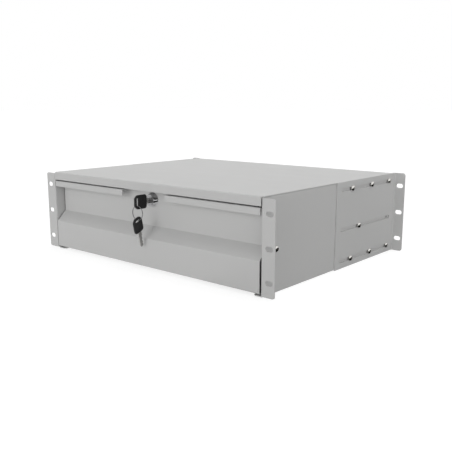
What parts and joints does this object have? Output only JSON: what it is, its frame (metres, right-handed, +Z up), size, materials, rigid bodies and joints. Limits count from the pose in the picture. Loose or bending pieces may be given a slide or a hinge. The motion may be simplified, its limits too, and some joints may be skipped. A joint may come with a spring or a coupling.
{
  "type": "sliding rack drawer",
  "caption": "Lockable sheet-metal drawer in a rack case, on full-extension ball slides, with sliding rear support brackets.",
  "frame": {"origin": "centre of the front rack-slot pattern, on the back face of the front ears", "axes": "+X to the right seen from the front, +Y into the rack, +Z up"},
  "size_m": [0.4826, 0.3894, 0.1314],
  "materials": {
    "grey_paint": "fine powder coat",
    "zinc_steel": "zinc plated",
    "bright_nickel": "nickel plated",
    "lock_chrome": "polished",
    "lock_face": "satin",
    "cage_steel": "oiled",
    "ball_steel": "polished",
    "key_plastic": "moulded",
    "key_metal": "nickel plated",
    "ring_wire": "nickel plated"
  },
  "bodies": {
    "case": {"left_side_panel": "grey_paint", "right_side_panel": "grey_paint", "top_cover": "grey_paint", "rear_panel": "grey_paint", "lock_catch": "zinc_steel", "bracket_screws": "bright_nickel", "slide_screws": "bright_nickel", "clinch_nuts": "zinc_steel", "left_slide_outer": "zinc_steel", "right_slide_outer": "zinc_steel"},
    "left_bracket": {"left_rear_bracket": "grey_paint"},
    "right_bracket": {"right_rear_bracket": "grey_paint"},
    "drawer": {"drawer_front": "grey_paint", "tray": "grey_paint", "tray_front_angles": "grey_paint", "front_rivets": "zinc_steel", "inner_slide_screws": "zinc_steel", "left_slide_inner": "zinc_steel", "right_slide_inner": "zinc_steel", "lock_barrel": "lock_chrome", "lock_nut": "zinc_steel"},
    "left_middle_member": {"left_slide_middle": "zinc_steel"},
    "right_middle_member": {"right_slide_middle": "zinc_steel"},
    "left_outer_cage": {"left_outer_ball_cage": "cage_steel", "left_outer_balls": "ball_steel"},
    "right_outer_cage": {"right_outer_ball_cage": "cage_steel", "right_outer_balls": "ball_steel"},
    "left_inner_cage": {"left_inner_ball_cage": "cage_steel", "left_inner_balls": "ball_steel"},
    "right_inner_cage": {"right_inner_ball_cage": "cage_steel", "right_inner_balls": "ball_steel"},
    "lock_cylinder": {"lock_plug": "lock_face", "lock_cam": "zinc_steel", "cam_screw": "zinc_steel"},
    "key": {"key_head": "key_plastic", "key_blade": "key_metal"},
    "ring": {"key_ring": "ring_wire"},
    "spare_key": {"spare_key_head": "key_plastic", "spare_key_blade": "key_metal"}
  },
  "joints": [
    {"name": "drawer_slide", "type": "slide", "parent": "case", "child": "drawer", "axis": [0, -1, 0], "range_m": [0, 0.3]},
    {"name": "left_bracket_slide", "type": "slide", "parent": "case", "child": "left_bracket", "axis": [0, 1, 0], "range_m": [-0.003, 0.028]},
    {"name": "left_middle_member_slide", "type": "slide", "parent": "case", "child": "left_middle_member", "axis": [0, -1, 0], "range_m": [0, 0.15]},
    {"name": "left_outer_cage_slide", "type": "slide", "parent": "case", "child": "left_outer_cage", "axis": [0, -1, 0], "range_m": [0, 0.075]},
    {"name": "left_inner_cage_slide", "type": "slide", "parent": "case", "child": "left_inner_cage", "axis": [0, -1, 0], "range_m": [0, 0.225]},
    {"name": "right_bracket_slide", "type": "slide", "parent": "case", "child": "right_bracket", "axis": [0, 1, 0], "range_m": [-0.003, 0.028]},
    {"name": "right_middle_member_slide", "type": "slide", "parent": "case", "child": "right_middle_member", "axis": [0, -1, 0], "range_m": [0, 0.15]},
    {"name": "right_outer_cage_slide", "type": "slide", "parent": "case", "child": "right_outer_cage", "axis": [0, -1, 0], "range_m": [0, 0.075]},
    {"name": "right_inner_cage_slide", "type": "slide", "parent": "case", "child": "right_inner_cage", "axis": [0, -1, 0], "range_m": [0, 0.225]},
    {"name": "lock_turn", "type": "hinge", "parent": "drawer", "child": "lock_cylinder", "pos_m": [0.0044, 0.0085, 0.0382], "axis": [0, 1, 0], "range_deg": [0, 90]},
    {"name": "key_pull", "type": "slide", "parent": "lock_cylinder", "child": "key", "axis": [0, -1, 0], "range_m": [0, 0.03]},
    {"name": "ring_swing", "type": "hinge", "parent": "key", "child": "ring", "pos_m": [0.0044, -0.0159, 0.03285], "axis": [1, 0, 0], "range_deg": [-40, 1]},
    {"name": "spare_key_swing", "type": "hinge", "parent": "ring", "child": "spare_key", "pos_m": [0.0044, -0.0159, 0.01165], "axis": [1, 0, 0], "range_deg": [-20, 0.8]}
  ],
  "couplings": [
    {"joint": "left_middle_member_slide", "follows": "drawer_slide", "ratio": 0.5},
    {"joint": "left_outer_cage_slide", "follows": "drawer_slide", "ratio": 0.25},
    {"joint": "left_inner_cage_slide", "follows": "drawer_slide", "ratio": 0.75},
    {"joint": "right_middle_member_slide", "follows": "drawer_slide", "ratio": 0.5},
    {"joint": "right_outer_cage_slide", "follows": "drawer_slide", "ratio": 0.25},
    {"joint": "right_inner_cage_slide", "follows": "drawer_slide", "ratio": 0.75}
  ]
}
